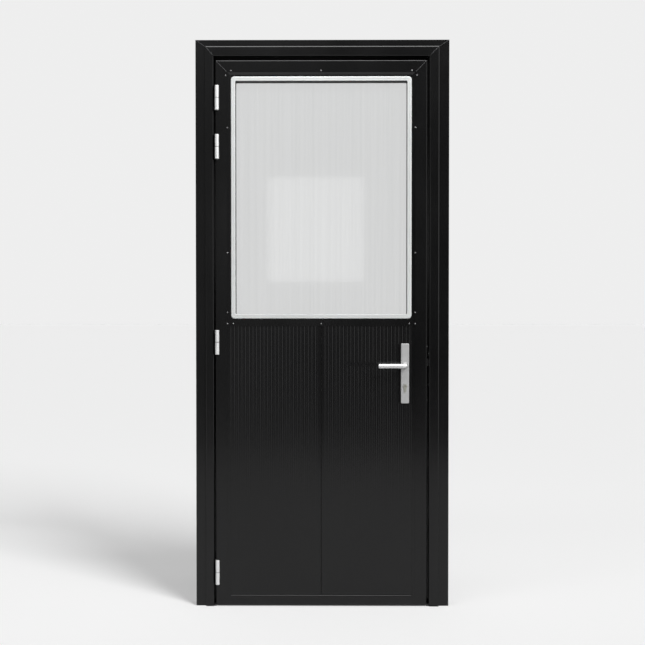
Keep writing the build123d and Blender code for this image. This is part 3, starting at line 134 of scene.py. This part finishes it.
def powder_coat(name, along, dark=0.0026, pale=0.0042, gloss=COAT_GLOSS):
    """Powder coat: fine orange peel, faint draw lines along the bar and slow changes of tone.

    It is satin black unless other tones and roughness are given.
    """
    made, tree, shader = surface(name)
    stretch = [260.0, 260.0, 260.0]
    stretch[along] = 1.6
    draw = noise(tree, stretch, 3.0, 0.5)
    cloud = noise(tree, (5.0, 5.0, 3.2), 5.0, 0.6)
    peel = noise(tree, (950.0, 950.0, 950.0), 2.0, 0.5)
    colour = tones(tree, cloud, [
        (0.25, (dark, dark, dark * 1.03)), (0.78, (pale, pale, pale * 1.04)),
    ])
    tree.links.new(colour, shader.inputs["Base Color"])
    tree.links.new(between(tree, cloud, *gloss), shader.inputs["Roughness"])
    relief(tree, shader, [(draw, 0.10, 0.0004), (peel, 0.16, 0.00025)])
    settings(shader, IOR=COAT_IOR)
    return made


def coil_coat(name):
    """Satin black coil coat on thin steel: very fine grain, slight waves and upright roller lines."""
    made, tree, shader = surface(name)
    wave = noise(tree, (3.0, 3.0, 1.3), 2.0, 0.4)
    lines = noise(tree, (420.0, 420.0, 1.2), 2.0, 0.5)
    grain = noise(tree, (1400.0, 1400.0, 1400.0), 2.0, 0.5)
    colour = tones(tree, wave, [
        (0.25, (0.0027, 0.0027, 0.0028)), (0.75, (0.0043, 0.0043, 0.0045)),
    ])
    tree.links.new(colour, shader.inputs["Base Color"])
    tree.links.new(between(tree, lines, *COAT_GLOSS), shader.inputs["Roughness"])
    relief(tree, shader, [(wave, 0.25, 0.0018), (grain, 0.10, 0.0002)])
    settings(shader, IOR=COAT_IOR)
    return made


def window_white():
    """Satin white moulded plastic with a fine spark-eroded grain."""
    made, tree, shader = surface("window_white")
    cloud = noise(tree, (7.0, 7.0, 7.0), 4.0, 0.5)
    grain = noise(tree, (1100.0, 1100.0, 1100.0), 2.0, 0.5)
    colour = tones(tree, cloud, [(0.25, (0.535, 0.545, 0.54)), (0.75, (0.585, 0.595, 0.59))])
    tree.links.new(colour, shader.inputs["Base Color"])
    tree.links.new(between(tree, grain, 0.30, 0.40), shader.inputs["Roughness"])
    relief(tree, shader, [(grain, 0.08, 0.0002)])
    settings(shader, IOR=1.5, Subsurface_Weight=0.02)
    return made


def clear_sheet():
    """Clear sheet: see-through by alpha, a faint grey haze with upright flow lines, and a glossy face.

    The index is higher than a real sheet's, so that the face reflects as strongly as the picture shows.
    """
    made, tree, shader = surface("clear_sheet")
    flow = noise(tree, (150.0, 150.0, 0.9), 3.0, 0.5)
    cloud = noise(tree, (3.4, 3.4, 2.4), 4.0, 0.55)
    colour = tones(tree, cloud, [(0.28, (0.105, 0.125, 0.125)), (0.72, (0.135, 0.155, 0.155))])
    tree.links.new(colour, shader.inputs["Base Color"])
    tree.links.new(between(tree, flow, 0.035, 0.06), shader.inputs["Roughness"])
    tree.links.new(between(tree, flow, 0.14, 0.17), shader.inputs["Alpha"])
    relief(tree, shader, [(flow, 0.04, 0.0003)])
    settings(shader, IOR=2.4)
    return made


def satin_metal(name, along, tone, rough, metallic=1.0, warm=1.0, shaded_left_of=None):
    """Satin metal with a fine brushed grain along one axis.

    Left of a given x its colour is scaled nearly to black, as painted shade.
    """
    made, tree, shader = surface(name)
    stretch = [1500.0, 1500.0, 1500.0]
    stretch[along] = 22.0
    brushed = noise(tree, stretch, 3.0, 0.6)
    cloud = noise(tree, (38.0, 38.0, 38.0), 3.0, 0.5)
    low = tone * 0.93
    colour = tones(tree, cloud, [
        (0.25, (low, low, low * warm)), (0.75, (tone, tone, tone * warm)),
    ])
    # Painted shade: left of the given x the colour is scaled down to nearly black
    if shaded_left_of is not None:
        place = tree.nodes.new("ShaderNodeTexCoord")
        split = tree.nodes.new("ShaderNodeSeparateXYZ")
        tree.links.new(place.outputs["Object"], split.inputs["Vector"])
        bare = tree.nodes.new("ShaderNodeVectorMath")
        bare.operation = "SCALE"
        tree.links.new(colour, bare.inputs["Vector"])
        start, end = shaded_left_of - SHADE_EDGE_BLEND, shaded_left_of + SHADE_EDGE_BLEND
        share = between(tree, split.outputs["X"], 0.008, 1.0, start, end)
        tree.links.new(share, bare.inputs["Scale"])
        colour = bare.outputs["Vector"]
    tree.links.new(colour, shader.inputs["Base Color"])
    spread = between(tree, brushed, rough - 0.05, rough + 0.05)
    tree.links.new(spread, shader.inputs["Roughness"])
    relief(tree, shader, [(brushed, 0.09, 0.00015)])
    settings(shader, Metallic=metallic)
    return made


def seal_rubber():
    """Matt black rubber with a dusty bloom and a moulded grain."""
    made, tree, shader = surface("seal_rubber")
    bloom = noise(tree, (28.0, 28.0, 9.0), 5.0, 0.6)
    grain = noise(tree, (900.0, 900.0, 900.0), 2.0, 0.5)
    colour = tones(tree, bloom, [
        (0.3, (0.0065, 0.0065, 0.0065)), (0.75, (0.013, 0.013, 0.013)),
    ])
    tree.links.new(colour, shader.inputs["Base Color"])
    tree.links.new(between(tree, bloom, 0.62, 0.82), shader.inputs["Roughness"])
    relief(tree, shader, [(grain, 0.22, 0.0003)])
    settings(shader, IOR=1.45)
    return made


def shade_dark_foam():
    """Rigid foam with fine open cells, darker than its own cream as painted shade where its edges show.
    """
    made, tree, shader = surface("shade_dark_foam")
    # Painted shade: dark grey instead of the foam's cream
    cells = noise(tree, (620.0, 620.0, 620.0), 3.0, 0.6)
    colour = tones(tree, cells, [(0.3, (0.050, 0.049, 0.046)), (0.7, (0.105, 0.102, 0.096))])
    tree.links.new(colour, shader.inputs["Base Color"])
    relief(tree, shader, [(cells, 0.6, 0.0008)])
    settings(shader, Roughness=0.9)
    return made


UPRIGHT_COAT = powder_coat("upright_coat", UP)
LEVEL_COAT = powder_coat("level_coat", ACROSS)
SKIN_COAT = coil_coat("skin_coat")
WHITE = window_white()
CLEAR = clear_sheet()
RIVET_METAL = satin_metal("rivet_steel", UP, 0.15, 0.24, 0.85)
LEVER_METAL = satin_metal("lever_aluminium", ACROSS, 0.60, 0.36, 0.70)
PLATE_METAL = satin_metal("plate_aluminium", UP, 0.43, 0.42, 0.55)
# Hinge steel is painted nearly black left of the knuckle, as painted shade in the gap beside the jamb
HINGE_METAL = satin_metal("hinge_steel", UP, 0.62, 0.44, 0.35, shaded_left_of=HINGE_SHADE_EDGE)
BARE_EDGE = powder_coat("bare_edge", ACROSS, 0.055, 0.085, (0.50, 0.60))
LOCK_METAL = satin_metal("lock_steel", UP, 0.62, 0.34)
# Painted shade: latch, dead bolt and hinge washers are made nearly black to stand in for the shade in
# the gaps where they sit
SHADE_DARK_STEEL = satin_metal("shade_dark_steel", UP, 0.06, 0.34, 0.80)
NICKEL = satin_metal("nickel_plate", DEPTH, 0.36, 0.34, 0.60, warm=0.88)
RUBBER = seal_rubber()
SHADE_DARK_FOAM = shade_dark_foam()

FINISHES = {
    "frame_hinge_jamb": UPRIGHT_COAT, "frame_lock_jamb": UPRIGHT_COAT, "frame_head": LEVEL_COAT,
    "stile_hinge_side": UPRIGHT_COAT, "stile_lock_side": UPRIGHT_COAT,
    "top_rail": LEVEL_COAT, "bottom_rail": LEVEL_COAT, "transom_strip": LEVEL_COAT,
    # The strike plate and forend take the black coat, which also stands in as painted shade in the gap
    # beside the lock stile
    "strike_plate": UPRIGHT_COAT, "lock_forend": UPRIGHT_COAT, "leaf_rivets": RIVET_METAL,
    # Latch, dead bolt and hinge washers are nearly black as painted shade in their gaps
    "latch_bolt": SHADE_DARK_STEEL, "dead_bolt": SHADE_DARK_STEEL, "hinge_washers": SHADE_DARK_STEEL,
    "panel_1_outer_skin": SKIN_COAT, "panel_1_inner_skin": SKIN_COAT,
    "panel_2_outer_skin": SKIN_COAT, "panel_2_inner_skin": SKIN_COAT,
    "panel_1_core": SHADE_DARK_FOAM, "panel_2_core": SHADE_DARK_FOAM,
    "stop_gasket": RUBBER, "bottom_seal": RUBBER,
    "window_gasket_outer": RUBBER, "window_gasket_inner": RUBBER,
    "window_frame_outer": WHITE, "window_frame_inner": WHITE, "window_pane": CLEAR,
    "handle_plate_outer": PLATE_METAL, "handle_plate_inner": PLATE_METAL,
    "lever_outer": LEVER_METAL, "lever_inner": LEVER_METAL,
    "corner_cleat_hinge_side": PLATE_METAL, "corner_cleat_lock_side": PLATE_METAL,
    "lock_cylinder": NICKEL, "cylinder_cam": NICKEL,
    "cylinder_plug_outer": NICKEL, "cylinder_plug_inner": NICKEL,
}


def dress_nodes():
    """Every CAD node takes its finish; those not listed are hinge pieces or other plain steel."""
    for name, node in NODES.items():
        metal = HINGE_METAL if name.startswith("hinge_") else LOCK_METAL
        finish = FINISHES.get(name, metal)
        node.data.materials.clear()
        node.data.materials.append(finish)


# Trim

# Mitres of the top corners: depth of the face, then the (x, z) ends of each line
FRAME_MITRES = [
    (-0.013, (-0.5140, 2.3043), (-0.4765, 2.2800)),
    (-0.023, (-0.4710, 2.2742), (-0.4460, 2.2440)),
    (-0.013, (0.5140, 2.3043), (0.4765, 2.2800)),
    (-0.023, (0.4710, 2.2750), (0.4400, 2.2440)),
]
LEAF_MITRES = [
    (-0.022, (-0.4285, 2.2165), (-0.3880, 2.1760)),
    (-0.022, (0.4200, 2.2165), (0.3795, 2.1760)),
]


def drawn_out(name, solids, finish, body):
    """Closed bars from rings of points, given as an array of bars by stations by ring points by xyz.

    Each ring is joined to the next by four-sided faces and the first and last rings are capped.
    Rings run clockwise seen from the far end, so that all faces point outwards.
    """
    bars, stations, count = solids.shape[:3]
    index = np.arange(bars * stations * count).reshape(bars, stations, count)
    after = np.roll(index, -1, axis=2)
    sides = np.stack([index[:, :-1], index[:, 1:], after[:, 1:], after[:, :-1]], axis=-1)
    caps = np.concatenate([index[:, 0], index[:, -1, ::-1]])
    mesh = bpy.data.meshes.new(name)
    faces = sides.reshape(-1, 4).tolist() + caps.tolist()
    mesh.from_pydata(solids.reshape(-1, 3).tolist(), [], faces)
    mesh.shade_smooth()
    mesh.set_sharp_from_angle(angle=math.radians(SHARP_ANGLE))
    made = bpy.data.objects.new(name, mesh)
    bpy.context.collection.objects.link(made)
    made.data.materials.append(finish)
    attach(made, body)


def rail_bead(height=0.0045, depth=0.0020, drop=0.0025, gap=0.0002,
              left=-0.372, right=0.3635, steps=10):
    """A rounded bead in front of the bottom rail's upper edge, drawn out level from left to right.

    Across it is the quarter ellipse y = back - depth * cos(t), z = foot + height * sin(t), for t
    from 0 to a quarter turn, closed through the corner point.
    """
    rail_low, rail_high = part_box("bottom_rail")
    back, foot = rail_low[1] - gap, rail_high[2] - drop
    turn = np.linspace(0.0, np.pi / 2, steps)
    solids = np.empty((1, 2, steps + 1, 3))
    solids[0, :, :, 0] = np.array([[left], [right]])
    solids[0, :, :, 1] = np.append(back - depth * np.cos(turn), back)
    solids[0, :, :, 2] = np.append(foot + height * np.sin(turn), foot)
    drawn_out("rail_bead", solids, LEVEL_COAT, "leaf")


def shade_foot_plugs(hinge_side=(-0.4407, -0.4315), lock_side=(0.4232, 0.4337),
               front=-0.018, back=0.006, low=0.0003, high=0.0072):
    """Black rubber plugs on the floor under the gaps beside the leaf, one at each jamb, which also
    serve as painted shade at the dark feet of the gaps.

    Each is a plain bar with a rectangle across, lower than the leaf and clear of its sweep.
    """
    spans = np.array([hinge_side, lock_side])
    solids = np.empty((2, 2, 4, 3))
    solids[..., 0] = spans[:, :, None]
    solids[..., 1] = (front, front, back, back)
    solids[..., 2] = (low, high, high, low)
    # Painted shade: black rubber where the feet of the gaps are dark
    drawn_out("shade_foot_plugs", solids, RUBBER, "frame")


def mitre_edges(name, mitres, body, half_width=0.0005, sink=0.00005):
    """Thin lines of bare metal in the mitres: each a flat triangle across, point inwards."""
    ends = np.array([
        [(x0, y + sink, z0), (x1, y + sink, z1)] for y, (x0, z0), (x1, z1) in mitres
    ])
    along = ends[:, 1] - ends[:, 0]
    along /= np.linalg.norm(along, axis=1, keepdims=True)
    across = np.cross(along, (0.0, half_width, 0.0))
    inward = np.zeros_like(across) + (0.0, half_width, 0.0)
    rings = np.stack([across, inward, -across], axis=1)
    drawn_out(name, ends[:, :, None] + rings[:, None], BARE_EDGE, body)


# Studio

def wide_floor(half_width=40.0, back=60.0):
    """A level floor: one rectangle from in front of the camera to far behind the door."""
    corners = np.array([
        [-half_width, FLOOR_FRONT, 0.0], [half_width, FLOOR_FRONT, 0.0],
        [half_width, back, 0.0], [-half_width, back, 0.0],
    ])
    mesh = bpy.data.meshes.new("studio_floor")
    mesh.from_pydata(corners.tolist(), [], [[0, 1, 2, 3]])
    floor = bpy.data.objects.new("studio_floor", mesh)
    bpy.context.collection.objects.link(floor)
    return floor


def seen_by_eye(tree):
    """One for rays from the camera or sent on by transmission, with the light path node."""
    path = tree.nodes.new("ShaderNodeLightPath")
    seen = tree.nodes.new("ShaderNodeMath")
    seen.operation = "MAXIMUM"
    tree.links.new(path.outputs["Is Camera Ray"], seen.inputs[0])
    tree.links.new(path.outputs["Is Transmission Ray"], seen.inputs[1])
    return seen.outputs["Value"], path


def floor_paper(eye_share=0.25, plain_tone=1.09):
    """Pale paper: a share of what the eye sees is a plain tone, the rest takes the shadow."""
    made = bpy.data.materials.new("studio_paper")
    made.use_nodes = True
    tree = made.node_tree
    tree.nodes.clear()
    out = tree.nodes.new("ShaderNodeOutputMaterial")
    mix = tree.nodes.new("ShaderNodeMixShader")
    lit = tree.nodes.new("ShaderNodeBsdfDiffuse")
    lit.inputs["Color"].default_value = (PAPER_TONE, PAPER_TONE, PAPER_TONE, 1.0)
    plain = tree.nodes.new("ShaderNodeEmission")
    plain.inputs["Color"].default_value = (plain_tone, plain_tone, plain_tone, 1.0)
    share = tree.nodes.new("ShaderNodeMath")
    share.operation = "MULTIPLY"
    share.inputs[1].default_value = eye_share
    tree.links.new(seen_by_eye(tree)[0], share.inputs[0])
    tree.links.new(share.outputs["Value"], mix.inputs["Fac"])
    tree.links.new(lit.outputs["BSDF"], mix.inputs[1])
    tree.links.new(plain.outputs["Emission"], mix.inputs[2])
    tree.links.new(mix.outputs["Shader"], out.inputs["Surface"])
    return made


def total(tree, parts):
    """The sum of several values."""
    value = parts[0]
    for part in parts[1:]:
        plus = tree.nodes.new("ShaderNodeMath")
        plus.operation = "ADD"
        tree.links.new(value, plus.inputs[0])
        tree.links.new(part, plus.inputs[1])
        value = plus.outputs["Value"]
    return value


def background(tree):
    """A white background node."""
    made = tree.nodes.new("ShaderNodeBackground")
    made.inputs["Color"].default_value = (1.0, 1.0, 1.0, 1.0)
    return made


def studio_world(fill=0.36):
    """The eye sees the pale tone and plain light is an even fill.

    Gloss sees a studio that is dim in front, lighter at the right side and bright overhead.
    """
    world = bpy.data.worlds.new("studio")
    bpy.context.scene.world = world
    world.use_nodes = True
    tree = world.node_tree
    tree.nodes.clear()
    out = tree.nodes.new("ShaderNodeOutputWorld")
    place = tree.nodes.new("ShaderNodeTexCoord")
    split = tree.nodes.new("ShaderNodeSeparateXYZ")
    tree.links.new(place.outputs["Generated"], split.inputs["Vector"])
    room = total(tree, [
        between(tree, split.outputs["Y"], 0.05, 0.50, -0.80, 0.40),
        between(tree, split.outputs["X"], 0.24, 0.0, -0.12, 0.10),
        between(tree, split.outputs["X"], 0.0, 1.40, 0.40, 0.90),
        between(tree, split.outputs["Z"], 0.0, 4.5, 0.27, 0.72),
    ])
    eye, path = seen_by_eye(tree)
    even, studio, pale = background(tree), background(tree), background(tree)
    even.inputs["Strength"].default_value = fill
    tree.links.new(room, studio.inputs["Strength"])
    pale.inputs["Strength"].default_value = PALE
    glossy = tree.nodes.new("ShaderNodeMixShader")
    tree.links.new(path.outputs["Is Glossy Ray"], glossy.inputs["Fac"])
    tree.links.new(even.outputs["Background"], glossy.inputs[1])
    tree.links.new(studio.outputs["Background"], glossy.inputs[2])
    shown = tree.nodes.new("ShaderNodeMixShader")
    tree.links.new(eye, shown.inputs["Fac"])
    tree.links.new(glossy.outputs["Shader"], shown.inputs[1])
    tree.links.new(pale.outputs["Background"], shown.inputs[2])
    tree.links.new(shown.outputs["Shader"], out.inputs["Surface"])


def bearing(azimuth, elevation):
    """The direction from the door to a lamp: degrees right of the camera and above the floor."""
    turn, rise = math.radians(azimuth), math.radians(elevation)
    level = math.cos(rise)
    return Vector((math.sin(turn) * level, -math.cos(turn) * level, math.sin(rise)))


def key_lamp(azimuth, elevation, spread, strength):
    """A broad, distant key light that falls evenly on the door and the floor."""
    lamp = bpy.data.lights.new("key", "SUN")
    lamp.angle = math.radians(spread)
    lamp.energy = strength
    made = bpy.data.objects.new("key", lamp)
    made.rotation_euler = bearing(azimuth, elevation).to_track_quat("Z", "Y").to_euler()
    bpy.context.collection.objects.link(made)


def softbox(name, place, aim, size, power):
    """A rectangular area lamp at a place, turned towards an aim point."""
    lamp = bpy.data.lights.new(name, "AREA")
    lamp.shape = "RECTANGLE"
    lamp.size, lamp.size_y = size
    lamp.energy = power
    made = bpy.data.objects.new(name, lamp)
    made.location = place
    made.rotation_euler = (Vector(place) - Vector(aim)).to_track_quat("Z", "Y").to_euler()
    bpy.context.collection.objects.link(made)


def viewing_camera():
    """A camera nearly square on to the door, a little above its middle."""
    lens = bpy.data.cameras.new("camera")
    lens.sensor_fit = "HORIZONTAL"
    lens.angle = 2.0 * math.atan(IMAGE_SIZE / 2.0 / FOCAL_PIXELS)
    lens.clip_end = CAMERA_REACH
    camera = bpy.data.objects.new("camera", lens)
    camera.location = CAMERA_PLACE
    pitch = math.radians(90.0 + CAMERA_PITCH)
    camera.rotation_euler = (pitch, 0.0, math.radians(CAMERA_YAW))
    bpy.context.collection.objects.link(camera)
    bpy.context.scene.camera = camera


dress_nodes()
rail_bead()
shade_foot_plugs()
mitre_edges("frame_mitre_edges", FRAME_MITRES, "frame")
mitre_edges("leaf_mitre_edges", LEAF_MITRES, "leaf")
paper = wide_floor()
paper.data.materials.append(floor_paper())
studio_world()
key_lamp(azimuth=41.0, elevation=36.0, spread=23.0, strength=2.95)
softbox("overhead", place=(0.0, -0.55, 3.0), aim=(0.0, -0.05, 2.1), size=(1.2, 0.25), power=10.0)
softbox("pane_light", place=(-0.10, -5.5, 1.94), aim=(-0.10, 0.0, 1.94), size=(0.90, 0.98), power=4.4)
viewing_camera()
bpy.context.scene.view_settings.view_transform = "Standard"
